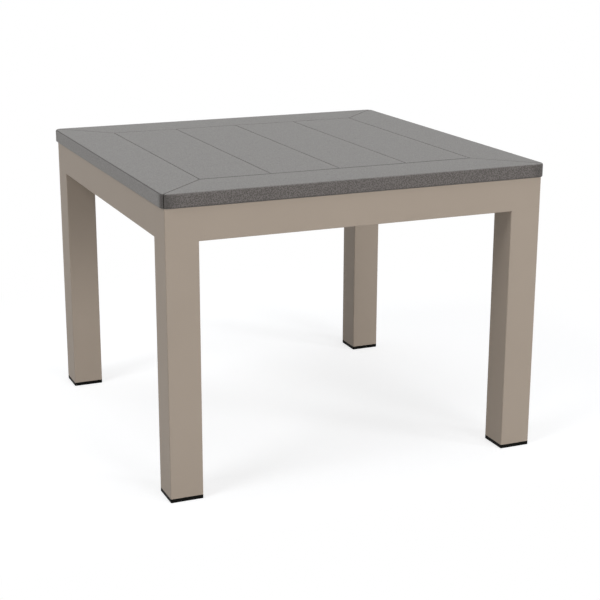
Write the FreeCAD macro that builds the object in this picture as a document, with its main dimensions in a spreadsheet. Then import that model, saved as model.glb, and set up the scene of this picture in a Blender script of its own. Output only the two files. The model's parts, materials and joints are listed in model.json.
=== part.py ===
"""Square outdoor side table: a slatted polymer-lumber top on a welded aluminium tube frame.

Millimetres. +Z is up, the origin is on the floor under the middle of the table, +X is to the right
and -Y is the front. The sheet "Sizes" drives every piece.
"""

import FreeCAD, Part

import itertools
import math
import os
import types

import Sketcher

# Driving dimensions in millimetres: alias, value, meaning
SIZES = (
    ("top_width", 610.0, "tabletop along X"),
    ("top_depth", 610.0, "tabletop along Y"),
    ("table_height", 457.0, "floor to the top surface"),
    ("top_thickness", 21.0, "thickness of every board"),
    ("top_overhang", 4.5, "how far the top stands out past the frame"),
    ("border_width", 84.0, "outer edge of the top to the joint with the slats"),
    ("joint_gap", 1.0, "gap between neighbouring boards"),
    ("joint_chamfer", 0.8, "eased upper edges of the boards along their joints"),
    ("top_corner_radius", 12.0, "corners of the top, seen from above"),
    ("top_edge_radius", 3.0, "round-over of the outer upper edge"),
    ("tube_size", 50.0, "outside of the square tube of the legs and aprons"),
    ("tube_wall", 2.5, "wall of the square tube"),
    ("tube_corner_radius", 1.5, "outer corners of the square tube"),
    ("foot_flange", 6.0, "height of the foot cap below the leg tube"),
    ("plug_wall", 2.5, "wall of the hollow plug that is pushed into the leg"),
    ("plug_lead", 4.5, "end of the plug past its last fin"),
    ("fin_height", 1.5, "gap between the plug and the bore of the leg, which the fins fill"),
    ("fin_thickness", 1.5, "thickness of one fin"),
    ("fin_pitch", 6.0, "spacing of the fins along the plug"),
    ("fin_setback", 4.0, "flange to the first fin"),
    ("fin_clearance", 0.1, "gap between a fin and the bore of the leg"),
    ("channel_width", 64.0, "width of the cross channels"),
    ("channel_depth", 20.0, "height of the cross channels"),
    ("channel_wall", 2.5, "web and flanges of the cross channels"),
    ("screw_diameter", 4.8, "shank of the screws"),
    ("screw_length", 14.0, "screw from under its head to its end"),
    ("head_flats", 8.0, "hexagon head of the screws, across its flats"),
    ("head_height", 3.2, "height of the hexagon head"),
    ("hole_clearance", 0.6, "added to the screw's diameter in the channels"),
    ("slot_travel", 4.0, "extra length of the slots that let the boards grow in the heat"),
    ("pilot_clearance", 0.2, "added to the screw's diameter in the boards"),
    ("pilot_spare", 1.5, "depth of the pilot hole past the screw's tip"),
    ("border_screw_spacing", 300.0, "the two screws along the front and back border boards"),
    ("spline_length", 70.0, "loose tongue along the mitre"),
    ("spline_width", 24.0, "loose tongue across the mitre"),
    ("spline_thickness", 5.0, "thickness of the loose tongue"),
    ("spline_clearance", 0.15, "gap round the loose tongue in its slot"),
)

SLAT_COUNT = 4
CHANNEL_COUNT = 3
FIN_COUNT = 3

# A step along a mitre divides evenly between X and Y
MITRE_SHARE = math.sqrt(0.5)
# A hexagon's corner from its middle, for a width of 1 across the flats
HEXAGON_CORNER = 1 / math.sqrt(3)

UP = FreeCAD.Vector(0, 0, 1)
LEFT_RIGHT = (("left", -1), ("right", 1))
FRONT_BACK = (("front", -1), ("back", 1))


class Size:
    """A length that carries its formula in the sheet along with its present value."""

    def __init__(self, formula, value):
        self.formula = formula
        self.value = value

    def combine(self, sign, other, value):
        return Size(f"({self.formula} {sign} {as_size(other).formula})", value)

    def __add__(self, other):
        return self.combine("+", other, self.value + as_size(other).value)

    def __sub__(self, other):
        return self.combine("-", other, self.value - as_size(other).value)

    def __mul__(self, factor):
        return self.combine("*", factor, self.value * as_size(factor).value)

    def __truediv__(self, divisor):
        return self.combine("/", divisor, self.value / as_size(divisor).value)

    def __neg__(self):
        return Size(f"(-{self.formula})", -self.value)


def as_size(number):
    """A plain number as a size, so that formulas can mix the two."""
    if isinstance(number, Size):
        return number
    return Size(f"({number})", number)


def fill_sheet(doc):
    """Write the driving dimensions to the sheet and return them by name."""
    sheet = doc.addObject("Spreadsheet::Sheet", "Sizes")
    for row, (alias, value, meaning) in enumerate(SIZES, start=1):
        sheet.set(f"A{row}", meaning)
        sheet.set(f"B{row}", str(value))
        sheet.setAlias(f"B{row}", alias)
    doc.recompute()
    return types.SimpleNamespace(
        **{alias: Size(f"Sizes.{alias}", float(sheet.get(alias))) for alias, _, _ in SIZES}
    )


doc = FreeCAD.newDocument("outdoor_side_table")
size = fill_sheet(doc)

# Heights and distances from the middle of the table that several pieces share
top_underside = size.table_height - size.top_thickness
top_half_x = size.top_width / 2
top_half_y = size.top_depth / 2
frame_half_x = top_half_x - size.top_overhang
frame_half_y = top_half_y - size.top_overhang
leg_centre_x = frame_half_x - size.tube_size / 2
leg_centre_y = frame_half_y - size.tube_size / 2
inner_half_x = frame_half_x - size.tube_size
inner_half_y = frame_half_y - size.tube_size
joint_x = top_half_x - size.border_width
joint_y = top_half_y - size.border_width
channel_y = inner_half_y - size.channel_width / 2
slat_pitch = joint_x * 2 / SLAT_COUNT
first_slat_x = slat_pitch / 2 - joint_x
slat_end_y = joint_y - size.joint_gap / 2
board_edge_x = joint_x + size.joint_gap / 2
board_edge_y = joint_y + size.joint_gap / 2

# Rows of screws: midway between the end of a board and the flange or tube beyond it
channel_inside = size.channel_width / 2 - size.channel_wall
slat_row_y = (slat_end_y + channel_y - channel_inside) / 2
border_row_x = (board_edge_x + inner_half_x) / 2
border_row_y = (board_edge_y + channel_y + channel_inside) / 2

# Sections and holes that have to fit each other
tube_bore = size.tube_size - size.tube_wall * 2
hole_diameter = size.screw_diameter + size.hole_clearance
pilot_diameter = size.screw_diameter + size.pilot_clearance
pilot_depth = size.screw_length - size.channel_wall + size.pilot_spare

pieces = []


def new_body(label):
    """A body that is named once."""
    body = doc.addObject("PartDesign::Body", label)
    body.Label = label
    return body


def new_piece(label):
    """A body that is one piece of the table."""
    body = new_body(label)
    pieces.append(body)
    return body


def place(body, x=0, y=0, z=0, turn=0):
    """Turn a body about the vertical, in degrees, and bind its place to the sheet."""
    body.Placement = FreeCAD.Placement(FreeCAD.Vector(), FreeCAD.Rotation(UP, turn))
    for axis, distance in zip("xyz", (x, y, z)):
        body.setExpression(f".Placement.Base.{axis}", as_size(distance).formula)
    doc.recompute()


def origin_feature(body, role):
    """One of the body's own planes or axes."""
    return next(feature for feature in body.Origin.OriginFeatures if feature.Role == role)


def new_sketch(body, name, plane="XY_Plane", lift=0):
    """A sketch on one of the body's own planes, moved along the plane's normal by lift."""
    sketch = body.newObject("Sketcher::SketchObject", name)
    sketch.AttachmentSupport = [(origin_feature(body, plane), "")]
    sketch.MapMode = "FlatFace"
    sketch.setExpression(".AttachmentOffset.Base.z", as_size(lift).formula)
    return sketch


def relate(sketch, kind, *geometry):
    """A constraint without a dimension."""
    sketch.addConstraint(Sketcher.Constraint(kind, *geometry))


def dimension(sketch, distance, kind, *geometry):
    """A constraint whose dimension is bound to a size's formula."""
    distance = as_size(distance)
    index = sketch.addConstraint(Sketcher.Constraint(kind, *geometry, distance.value))
    sketch.setExpression(f"Constraints[{index}]", distance.formula)


def lock(sketch, geometry, point, x, y):
    """Hold a point of some geometry at its distances from the sketch's origin."""
    dimension(sketch, x, "DistanceX", -1, 1, geometry, point)
    dimension(sketch, y, "DistanceY", -1, 1, geometry, point)


def vector(x, y):
    """The present place of a point of a sketch."""
    return FreeCAD.Vector(as_size(x).value, as_size(y).value, 0)


def draw_line(sketch, start, end):
    """A line that is still free."""
    return sketch.addGeometry(Part.LineSegment(start, end), False)


def draw_arc(sketch, centre, radius, start_angle, end_angle):
    """An arc that is still free, drawn anticlockwise between two angles in degrees."""
    circle = Part.Circle(centre, UP, radius)
    arc = Part.ArcOfCircle(circle, math.radians(start_angle), math.radians(end_angle))
    return sketch.addGeometry(arc, False)


def draw_circle(sketch, x, y, diameter):
    """A circle round a point."""
    circle = sketch.addGeometry(Part.Circle(vector(x, y), UP, diameter.value / 2), False)
    lock(sketch, circle, 3, x, y)
    dimension(sketch, diameter, "Diameter", circle)


def draw_slot(sketch, x, y, diameter, travel):
    """A slot round a point, longer than it is wide by travel along the sketch's Y."""
    radius = diameter / 2
    ends = [(x, as_size(y) + travel / 2), (x, as_size(y) - travel / 2)]
    side = vector(radius, 0)
    far, near = (vector(*end) for end in ends)
    loop = (
        draw_arc(sketch, far, radius.value, 0, 180),
        draw_line(sketch, far - side, near - side),
        draw_arc(sketch, near, radius.value, 180, 360),
        draw_line(sketch, near + side, far + side),
    )
    for edge, following in zip(loop, loop[1:] + loop[:1]):
        relate(sketch, "Tangent", edge, 2, following, 1)
    relate(sketch, "Equal", loop[0], loop[2])
    for arc, end in zip(loop[::2], ends):
        lock(sketch, arc, 3, *end)
    dimension(sketch, radius, "Radius", loop[0])


def draw_polygon(sketch, corners):
    """A closed outline through corners that are given as pairs of sizes."""
    points = [vector(x, y) for x, y in corners]
    lines = [draw_line(sketch, *ends) for ends in zip(points, points[1:] + points[:1])]
    for line, following in zip(lines, lines[1:] + lines[:1]):
        relate(sketch, "Coincident", line, 2, following, 1)
    for line, corner in zip(lines, corners):
        lock(sketch, line, 1, *corner)


def draw_rectangle(sketch, width, height):
    """A rectangle centred on the sketch's origin."""
    right = width / 2
    upper = height / 2
    draw_polygon(sketch, ((-right, -upper), (right, -upper), (right, upper), (-right, upper)))


def draw_rounded_rectangle(sketch, width, height, radius):
    """A rectangle with round corners, centred on the sketch's origin."""
    reach_x = width.value / 2 - radius.value
    reach_y = height.value / 2 - radius.value
    lines = []
    arcs = []
    for quarter, (side_x, side_y) in enumerate(((1, -1), (1, 1), (-1, 1), (-1, -1))):
        angle = 90 * (quarter - 1)
        outward = FreeCAD.Rotation(UP, angle).multVec(FreeCAD.Vector(1, 0, 0))
        along = UP.cross(outward)
        centre = FreeCAD.Vector(side_x * reach_x, side_y * reach_y, 0)
        end = centre + outward * radius.value
        run = 2 * abs(centre.dot(along))
        lines.append(draw_line(sketch, end - along * run, end))
        arcs.append(draw_arc(sketch, centre, radius.value, angle, angle + 90))
    for line, arc, following in zip(lines, arcs, lines[1:] + lines[:1]):
        relate(sketch, "Tangent", line, 2, arc, 1)
        relate(sketch, "Tangent", arc, 2, following, 1)
    for line, direction in zip(lines, ("Horizontal", "Vertical", "Horizontal", "Vertical")):
        relate(sketch, direction, line)
    for arc in arcs[1:]:
        relate(sketch, "Equal", arcs[0], arc)
    relate(sketch, "Symmetric", arcs[0], 3, arcs[2], 3, -1, 1)
    dimension(sketch, radius, "Radius", arcs[0])
    dimension(sketch, width, "DistanceX", lines[3], 1, lines[1], 1)
    dimension(sketch, height, "DistanceY", lines[0], 1, lines[2], 1)


def pad(body, sketch, name, length, symmetric=False):
    """Extrude a sketch along its normal, to one side or evenly to both."""
    feature = body.newObject("PartDesign::Pad", name)
    feature.Profile = sketch
    feature.SideType = "Symmetric" if symmetric else "One side"
    feature.setExpression("Length", length.formula)
    doc.recompute()
    return feature


def pocket(body, sketch, name, depth, upward=False):
    """Cut a sketch into a body, down or up from its plane, and make sure that it cut something."""
    volume_before = body.Shape.Volume
    feature = body.newObject("PartDesign::Pocket", name)
    feature.Profile = sketch
    feature.Reversed = upward
    feature.setExpression("Length", depth.formula)
    doc.recompute()
    if body.Shape.Volume >= volume_before:
        raise RuntimeError(f"{name} cuts nothing from {body.Label}")
    return feature


def edges_where(feature, test):
    """The names of a feature's edges whose end points all pass a test."""
    return [
        f"Edge{number}"
        for number, edge in enumerate(feature.Shape.Edges, start=1)
        if all(test(vertex.Point) for vertex in edge.Vertexes)
    ]


def level_with(height):
    """A test for points at a height in their own body."""
    return lambda point: math.isclose(point.z, as_size(height).value, abs_tol=1e-6)


def fillet(body, name, base, edges, radius):
    """Round some edges of a feature."""
    feature = body.newObject("PartDesign::Fillet", name)
    feature.Base = (base, edges)
    feature.setExpression("Radius", radius.formula)
    doc.recompute()


def chamfer(body, name, base, edges, width):
    """Bevel some edges of a feature."""
    feature = body.newObject("PartDesign::Chamfer", name)
    feature.Base = (base, edges)
    feature.setExpression("Size", width.formula)
    doc.recompute()


def transform(body, name, originals, steps):
    """Repeat features by steps that are already in the body."""
    grid = body.newObject("PartDesign::MultiTransform", name)
    grid.Originals = originals
    grid.Transformations = steps
    body.Tip = grid
    doc.recompute()


def repeat(body, name, originals, rows):
    """Repeat features along the body's axes: each row is an axis, a spacing and a count."""
    steps = []
    for number, (axis, spacing, count) in enumerate(rows, start=1):
        step = body.newObject("PartDesign::LinearPattern", f"{name}_row_{number}")
        step.Direction = (origin_feature(body, f"{axis}_Axis"), [""])
        step.Mode = "Spacing"
        step.setExpression("Offset", spacing.formula)
        step.Occurrences = count
        steps.append(step)
    transform(body, name, originals, steps)


def mirror_both_ways(body, name, originals):
    """Repeat features on the other sides of the table's two middle planes."""
    steps = []
    for plane in ("YZ_Plane", "XZ_Plane"):
        step = body.newObject("PartDesign::Mirrored", f"{name}_{plane}")
        step.MirrorPlane = (origin_feature(body, plane), [""])
        steps.append(step)
    transform(body, name, originals, steps)


def drill(body, name, x, y, diameter, depth, rows, upward=False, travel=None):
    """Holes, or slots where they have travel, in rows that start from one place."""
    outline = new_sketch(body, f"{name}_outline")
    if travel is None:
        draw_circle(outline, x, y, diameter)
    else:
        draw_slot(outline, x, y, diameter, travel)
    hole = pocket(body, outline, name, depth, upward)
    repeat(body, f"{name}_rows", [hole], rows)


def draw_tube_section(sketch):
    """The square tube of the legs and aprons: its outside and its bore."""
    draw_rounded_rectangle(sketch, size.tube_size, size.tube_size, size.tube_corner_radius)
    draw_rectangle(sketch, tube_bore, tube_bore)


def make_leg(label, side_x, side_y):
    """A leg: square tube from its foot cap up to the underside of the top."""
    leg = new_piece(label)
    section = new_sketch(leg, "leg_section")
    draw_tube_section(section)
    pad(leg, section, "leg_tube", top_underside - size.foot_flange)
    place(leg, leg_centre_x * side_x, leg_centre_y * side_y, size.foot_flange)


def make_apron(label, length, x, y, turn):
    """An apron: the legs' tube laid level between two legs, flush with their faces and tops."""
    apron = new_piece(label)
    section = new_sketch(apron, "apron_section", "YZ_Plane")
    draw_tube_section(section)
    pad(apron, section, "apron_tube", length, symmetric=True)
    place(apron, x, y, top_underside - size.tube_size / 2, turn)


def draw_weld_section(sketch, corner_x, corner_y, direction):
    """The space between a leg's round corner, an apron's end and the frame's outer face."""
    radius = size.tube_corner_radius
    corner = vector(corner_x, corner_y)
    step_x = vector(radius * direction, 0)
    step_y = vector(0, radius * -direction)
    level = draw_line(sketch, corner, corner + step_x)
    cross = draw_line(sketch, corner, corner + step_y)
    first_angle = 90 * direction
    arc = draw_arc(sketch, corner + step_x + step_y, radius.value, first_angle, first_angle + 90)
    relate(sketch, "Coincident", level, 1, cross, 1)
    relate(sketch, "Coincident", level, 2, arc, 1)
    relate(sketch, "Coincident", cross, 2, arc, 2)
    relate(sketch, "Horizontal", level)
    relate(sketch, "Vertical", cross)
    lock(sketch, level, 1, corner_x, corner_y)
    dimension(sketch, radius, "Distance", level)
    dimension(sketch, radius, "Distance", cross)
    dimension(sketch, radius, "Radius", arc)


def make_corner_welds():
    """Weld that fills each leg's round corners beside the aprons, ground flush on the outside."""
    welds = new_piece("corner_welds")
    apron_underside = top_underside - size.tube_size
    section = new_sketch(welds, "weld_sections", lift=apron_underside + size.tube_corner_radius)
    draw_weld_section(section, -inner_half_x, -frame_half_y, -1)
    draw_weld_section(section, -frame_half_x, -inner_half_y, 1)
    seams = pad(welds, section, "weld_seams", size.tube_size - size.tube_corner_radius)
    mirror_both_ways(welds, "weld_seams_all_round", [seams])
    place(welds)


def make_foot_cap(label, side_x, side_y):
    """A foot cap: a flange under the leg and a hollow plug with fins that grip the leg's bore."""
    cap = new_piece(label)
    outline = new_sketch(cap, "flange_outline")
    draw_rounded_rectangle(outline, size.tube_size, size.tube_size, size.tube_corner_radius)
    pad(cap, outline, "flange", size.foot_flange)

    plug_size = tube_bore - size.fin_height * 2
    plug_bore = plug_size - size.plug_wall * 2
    outline = new_sketch(cap, "plug_outline", lift=size.foot_flange)
    draw_rectangle(outline, plug_size, plug_size)
    draw_rectangle(outline, plug_bore, plug_bore)
    fins_length = size.fin_setback + size.fin_pitch * (FIN_COUNT - 1) + size.fin_thickness
    pad(cap, outline, "plug", fins_length + size.plug_lead)

    fin_size = tube_bore - size.fin_clearance * 2
    outline = new_sketch(cap, "fin_outline", lift=size.foot_flange + size.fin_setback)
    draw_rectangle(outline, fin_size, fin_size)
    draw_rectangle(outline, plug_bore, plug_bore)
    fin = pad(cap, outline, "fin", size.fin_thickness)
    repeat(cap, "fins", [fin], [("Z", size.fin_pitch, FIN_COUNT)])
    place(cap, leg_centre_x * side_x, leg_centre_y * side_y)


def make_cross_channel(label, y, turn):
    """A channel under the top, open downwards, between the left and right aprons."""
    channel = new_piece(label)
    section = new_sketch(channel, "channel_section", "YZ_Plane")
    outside = size.channel_width / 2
    draw_polygon(section, (
        (-outside, 0),
        (-outside, -size.channel_depth),
        (-channel_inside, -size.channel_depth),
        (-channel_inside, -size.channel_wall),
        (channel_inside, -size.channel_wall),
        (channel_inside, -size.channel_depth),
        (outside, -size.channel_depth),
        (outside, 0),
    ))
    pad(channel, section, "channel", inner_half_x * 2, symmetric=True)
    place(channel, 0, y, top_underside, turn)
    return channel


def drill_channel(channel, name, x, y, rows, travel=None):
    """Holes or slots through a channel's web."""
    drill(channel, name, x, y, hole_diameter, size.channel_wall, rows, travel=travel)


def make_cross_channels():
    """Three channels: one against the front apron, one against the back apron and one between.

    The boards are fixed at the front, and the slots further back let them grow in the heat.
    """
    side_rows = [("X", border_row_x * 2, len(LEFT_RIGHT))]
    slat_rows = [("X", slat_pitch, SLAT_COUNT)]
    border_rows = [("X", size.border_screw_spacing, len(LEFT_RIGHT))]
    for (name, side_y), turn, travel in zip(FRONT_BACK, (0, 180), (None, size.slot_travel)):
        channel = make_cross_channel(f"cross_channel_{name}", channel_y * side_y, turn)
        inner_y = channel_y - slat_row_y
        outer_y = channel_y - border_row_y
        drill_channel(channel, "slat_hole", first_slat_x, inner_y, slat_rows, travel)
        drill_channel(channel, "side_hole", -border_row_x, inner_y, side_rows, travel)
        drill_channel(channel, "border_hole", -size.border_screw_spacing / 2, outer_y, border_rows)
    channel = make_cross_channel("cross_channel_middle", 0, 0)
    drill_channel(channel, "side_hole", -border_row_x, 0, side_rows, size.slot_travel)


def drill_pilots(board, first_x, row_y, rows):
    """Blind holes in the underside of a board, for its screws."""
    drill(board, "pilot_hole", first_x, -row_y, pilot_diameter, pilot_depth, rows, upward=True)


def make_slat(label, x):
    """A slat: a board with eased upper edges and pilot holes in its underside."""
    slat = new_piece(label)
    outline = new_sketch(slat, "slat_outline")
    draw_rectangle(outline, slat_pitch - size.joint_gap, slat_end_y * 2)
    board = pad(slat, outline, "slat_board", size.top_thickness)
    upper_edges = edges_where(board, level_with(size.top_thickness))
    chamfer(slat, "eased_edges", board, upper_edges, size.joint_chamfer)
    drill_pilots(slat, 0, slat_row_y, [("Y", slat_row_y * 2, len(FRONT_BACK))])
    place(slat, x, 0, top_underside)


def make_top_blank():
    """The whole top as one rounded block, from which the border boards take their outer edges."""
    blank = new_body("top_blank")
    outline = new_sketch(blank, "top_outline")
    draw_rounded_rectangle(outline, size.top_width, size.top_depth, size.top_corner_radius)
    block = pad(blank, outline, "top_block", size.top_thickness)
    upper_edges = edges_where(block, level_with(size.top_thickness))
    fillet(blank, "upper_edge", block, upper_edges, size.top_edge_radius)
    place(blank, z=top_underside)
    return blank


def draw_spline_slot(sketch, centre_x, centre_y, side_x):
    """The outline of the slot for a loose tongue, along the mitre at one end of a board."""
    half_length = (size.spline_length / 2 + size.spline_clearance) * MITRE_SHARE
    half_width = (size.spline_width / 2 + size.spline_clearance) * MITRE_SHARE
    corners = []
    for along, across in ((-1, -1), (1, -1), (1, 1), (-1, 1)):
        offset_x = half_length * along + half_width * across
        offset_y = half_length * along - half_width * across
        corners.append(((offset_x - centre_x) * -side_x, offset_y - centre_y))
    draw_polygon(sketch, corners)


def make_border_board(label, blank, turn, half_length, half_depth, screw_row, screw_spacing, screws):
    """A border board: the part of the top between one outer edge, two mitres and the slats.

    The board is drawn as the front one, along X, and turned to its side of the table.
    """
    sector = new_body(f"{label}_sector")
    mitre_setback = size.joint_gap * MITRE_SHARE
    inner_x = half_length - size.border_width + size.joint_gap / 2 - mitre_setback
    inner_y = half_depth - size.border_width + size.joint_gap / 2
    outer_x = half_length + size.border_width - mitre_setback
    outer_y = half_depth + size.border_width
    outline = new_sketch(sector, "sector_outline")
    draw_polygon(outline, (
        (-outer_x, -outer_y),
        (outer_x, -outer_y),
        (inner_x, -inner_y),
        (-inner_x, -inner_y),
    ))
    board = pad(sector, outline, "sector_board", size.top_thickness)
    outer_edge = edges_where(board, lambda point: math.isclose(point.y, -outer_y.value))
    upper_edges = edges_where(board, level_with(size.top_thickness))
    joint_edges = [edge for edge in upper_edges if edge not in outer_edge]
    chamfer(sector, "eased_edges", board, joint_edges, size.joint_chamfer)

    first_screw_x = -screw_spacing * (screws - 1) / 2
    drill_pilots(sector, first_screw_x, screw_row, [("X", screw_spacing, screws)])

    slot_height = size.spline_thickness + size.spline_clearance * 2
    slots = new_sketch(sector, "spline_slots", lift=(size.top_thickness - slot_height) / 2)
    mitre_x = half_length - size.border_width / 2
    mitre_y = half_depth - size.border_width / 2
    for _, side_x in LEFT_RIGHT:
        draw_spline_slot(slots, mitre_x, mitre_y, side_x)
    pocket(sector, slots, "spline_slot", slot_height, upward=True)
    place(sector, z=top_underside, turn=turn)

    border_board = doc.addObject("Part::Common", label)
    border_board.Label = label
    border_board.Base = blank
    border_board.Tool = sector
    doc.recompute()
    pieces.append(border_board)


def make_border():
    """The four border boards: the long way of each is the other's way across."""
    blank = make_top_blank()
    front_back = (top_half_x, top_half_y, border_row_y, size.border_screw_spacing, len(LEFT_RIGHT))
    left_right = (top_half_y, top_half_x, border_row_x, slat_row_y, CHANNEL_COUNT)
    make_border_board("border_board_front", blank, 0, *front_back)
    make_border_board("border_board_right", blank, 90, *left_right)
    make_border_board("border_board_back", blank, 180, *front_back)
    make_border_board("border_board_left", blank, 270, *left_right)


def make_mitre_spline(label, side_x, side_y):
    """A loose tongue that lies in the slots of two border boards, across their mitre."""
    spline = new_piece(label)
    outline = new_sketch(spline, "spline_outline")
    draw_rectangle(outline, size.spline_length, size.spline_width)
    pad(spline, outline, "spline", size.spline_thickness)
    x = (top_half_x - size.border_width / 2) * side_x
    y = (top_half_y - size.border_width / 2) * side_y
    z = top_underside + (size.top_thickness - size.spline_thickness) / 2
    place(spline, x, y, z, turn=45 * side_x * side_y)


def draw_hexagon(sketch, flats):
    """A hexagon centred on the sketch's origin, with two of its flats upright."""
    side = flats / 2
    corner = flats * HEXAGON_CORNER
    draw_polygon(sketch, (
        (0, -corner),
        (side, -corner / 2),
        (side, corner / 2),
        (0, corner),
        (-side, corner / 2),
        (-side, -corner / 2),
    ))


def make_screws(label, x, y, rows):
    """A group of hexagon-head screws, driven up through a channel's web into the boards."""
    screws = new_piece(label)
    outline = new_sketch(screws, "head_outline", lift=-size.head_height)
    draw_hexagon(outline, size.head_flats)
    head = pad(screws, outline, "screw_head", size.head_height)
    outline = new_sketch(screws, "shank_outline")
    draw_circle(outline, 0, 0, size.screw_diameter)
    shank = pad(screws, outline, "screw_shank", size.screw_length)
    repeat(screws, "screw_rows", [head, shank], rows)
    place(screws, x, y, top_underside - size.channel_wall)


def make_all_screws():
    """The screws of the slats and of the border boards, in the rows of their holes."""
    make_screws("slat_screws", first_slat_x, -slat_row_y, [
        ("X", slat_pitch, SLAT_COUNT),
        ("Y", slat_row_y * 2, len(FRONT_BACK)),
    ])
    make_screws("border_screws_front_back", -size.border_screw_spacing / 2, -border_row_y, [
        ("X", size.border_screw_spacing, len(LEFT_RIGHT)),
        ("Y", border_row_y * 2, len(FRONT_BACK)),
    ])
    make_screws("border_screws_sides", -border_row_x, -slat_row_y, [
        ("X", border_row_x * 2, len(LEFT_RIGHT)),
        ("Y", slat_row_y, CHANNEL_COUNT),
    ])


def make_table():
    """Every piece, from the floor up."""
    for (name_y, side_y), (name_x, side_x) in itertools.product(FRONT_BACK, LEFT_RIGHT):
        make_foot_cap(f"foot_cap_{name_y}_{name_x}", side_x, side_y)
        make_leg(f"leg_{name_y}_{name_x}", side_x, side_y)
        make_mitre_spline(f"mitre_spline_{name_y}_{name_x}", side_x, side_y)
    for name_y, side_y in FRONT_BACK:
        make_apron(f"apron_{name_y}", inner_half_x * 2, 0, leg_centre_y * side_y, 0)
    for name_x, side_x in LEFT_RIGHT:
        make_apron(f"apron_{name_x}", inner_half_y * 2, leg_centre_x * side_x, 0, 90)
    make_corner_welds()
    make_cross_channels()
    make_border()
    for number in range(SLAT_COUNT):
        make_slat(f"slat_{number + 1}", first_slat_x + slat_pitch * number)
    make_all_screws()


def check_table():
    """Stop before anything is written if a feature failed or a piece is not a sound solid."""
    for thing in doc.Objects:
        if "Invalid" in thing.State or "Error" in thing.State:
            raise RuntimeError(f"{thing.Label} failed: {thing.State}")
    for piece in pieces:
        if piece.Shape.isNull() or not piece.Shape.isValid() or not piece.Shape.Solids:
            raise RuntimeError(f"{piece.Label} is not a sound solid")


def write_table():
    """Write each piece to a file of its own."""
    os.makedirs("parts", exist_ok=True)
    for piece in pieces:
        piece.Shape.exportStep(f"parts/{piece.Label}.step")


make_table()
doc.recompute()
check_table()
write_table()
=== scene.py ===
"""Dress the outdoor side table: polymer-lumber boards, a powder-coated tube frame, foot caps and screws.

Metres, +Z up, the front faces -Y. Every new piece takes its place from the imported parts.
"""

import json
import logging
import math
from collections.abc import Callable, Iterable, Mapping, Sequence
from dataclasses import dataclass
from enum import Enum

import bpy
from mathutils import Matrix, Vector

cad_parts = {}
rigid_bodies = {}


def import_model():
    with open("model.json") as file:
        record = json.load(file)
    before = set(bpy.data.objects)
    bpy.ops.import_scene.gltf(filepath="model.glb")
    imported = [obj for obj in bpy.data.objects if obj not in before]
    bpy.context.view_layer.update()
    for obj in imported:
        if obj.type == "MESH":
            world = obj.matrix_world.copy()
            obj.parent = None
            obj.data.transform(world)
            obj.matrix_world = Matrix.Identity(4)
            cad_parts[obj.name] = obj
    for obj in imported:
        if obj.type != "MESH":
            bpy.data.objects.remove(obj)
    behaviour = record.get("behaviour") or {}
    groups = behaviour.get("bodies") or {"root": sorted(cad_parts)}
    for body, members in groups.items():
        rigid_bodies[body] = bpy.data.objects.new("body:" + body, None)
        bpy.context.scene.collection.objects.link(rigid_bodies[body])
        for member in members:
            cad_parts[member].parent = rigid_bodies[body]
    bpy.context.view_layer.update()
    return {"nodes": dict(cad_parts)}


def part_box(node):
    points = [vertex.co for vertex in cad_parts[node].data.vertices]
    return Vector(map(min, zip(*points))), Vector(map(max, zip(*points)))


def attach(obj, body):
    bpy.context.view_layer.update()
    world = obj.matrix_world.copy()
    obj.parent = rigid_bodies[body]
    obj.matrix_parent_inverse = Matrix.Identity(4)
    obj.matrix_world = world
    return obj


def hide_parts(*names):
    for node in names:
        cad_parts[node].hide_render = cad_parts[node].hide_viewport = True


LOG = logging.getLogger("side_table")
MM = 0.001
BODY = "root"
WHITE = "#FFFFFF"
MITRE_TURN = math.radians(45)
CORNERS = ("front_left", "front_right", "back_left", "back_right")

# Places nearer than this are the same, and directions with a higher cosine are parallel
TOUCH = 1e-6
FACING = 0.999

# Steps of an edge that is cut off flat
FLAT = 1

# The sRGB curve, which is straight up to its knee and a power from there
BYTE = 255
SRGB_KNEE, SRGB_SLOPE, SRGB_SHIFT, SRGB_POWER = 0.04045, 12.92, 0.055, 2.4

# Settings of a soft step from 0 to 1
SOFT_STEP = {"interpolation_type": "SMOOTHSTEP"}

# Sockets of a colour mix, which share their names with its other kinds
MIX_FACTOR, MIX_A, MIX_B, MIX_RESULT = 0, 6, 7, 2

Box = tuple[Vector, Vector]
Colour = tuple[float, float, float, float]
Inputs = Mapping[str | int, object] | Sequence[object]
Material = bpy.types.Material
NodeTree = bpy.types.NodeTree
Piece = bpy.types.Object
Range = tuple[float, float]
Socket = bpy.types.NodeSocket
Sockets = Mapping[str | int, Socket]


class Slot(Enum):
    """The record's material slots."""

    FRAME = "frame_powder_coat"
    TOP = "top_lumber"
    FOOT = "foot_polyethylene"
    SCREW = "screw_stainless"


class Axis(Enum):
    """A direction of the table, by its place in a vector."""

    X = 0
    Y = 1
    Z = 2


class Side(Enum):
    """A side of the table, as the direction that it faces."""

    FRONT = (0, -1)
    RIGHT = (1, 0)
    BACK = (0, 1)
    LEFT = (-1, 0)

    @property
    def word(self) -> str:
        """The side's name as the parts spell it."""
        return self.name.lower()

    @property
    def outward(self) -> Vector:
        """The way out of the table on this side."""
        return Vector((*self.value, 0))

    @property
    def along(self) -> Vector:
        """The way along this side, anticlockwise from above."""
        return Vector((-self.value[1], self.value[0], 0))


class Row(Enum):
    """The places of the cross channels."""

    FRONT = "front"
    MIDDLE = "middle"
    BACK = "back"


class Board(Enum):
    """The kinds of board, which show their core on different faces."""

    BORDER = "routed_polymer_lumber"
    SLAT = "sawn_polymer_lumber"


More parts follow.
